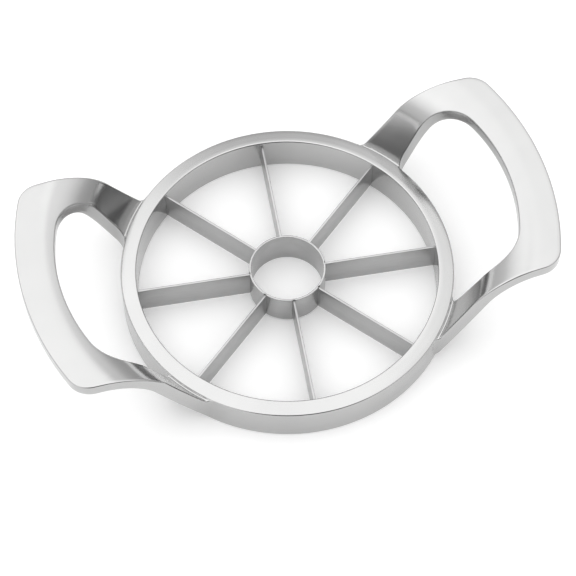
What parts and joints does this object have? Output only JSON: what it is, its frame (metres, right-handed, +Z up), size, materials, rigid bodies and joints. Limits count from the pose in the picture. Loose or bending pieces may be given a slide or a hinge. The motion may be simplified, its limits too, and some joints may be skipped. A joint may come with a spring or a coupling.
{
  "type": "apple wedger with raised loop handles",
  "caption": "Hand-held fruit wedger: cast ring with raised loop handles on both sides, radial blades and a thin core tube, pressed down over a fruit to cut it into wedges.",
  "frame": {"origin": "centre of the ring on the plane of its lower face, which rests on the table", "axes": "+X through the middle of one grip, +Y across the handles, +Z up, away from the table"},
  "size_m": [0.1656, 0.105, 0.037],
  "materials": {
    "cast_body": "satin chrome over a smooth casting",
    "blade_steel": "brushed along the strip, ground wedge along the cutting edge",
    "tube_steel": "fine brushed, bright rim"
  },
  "bodies": {
    "root": {"body": "cast_body", "core_tube": "tube_steel", "blade_1": "blade_steel", "blade_2": "blade_steel", "blade_3": "blade_steel", "blade_4": "blade_steel", "blade_5": "blade_steel", "blade_6": "blade_steel", "blade_7": "blade_steel", "blade_8": "blade_steel"}
  },
  "joints": []
}
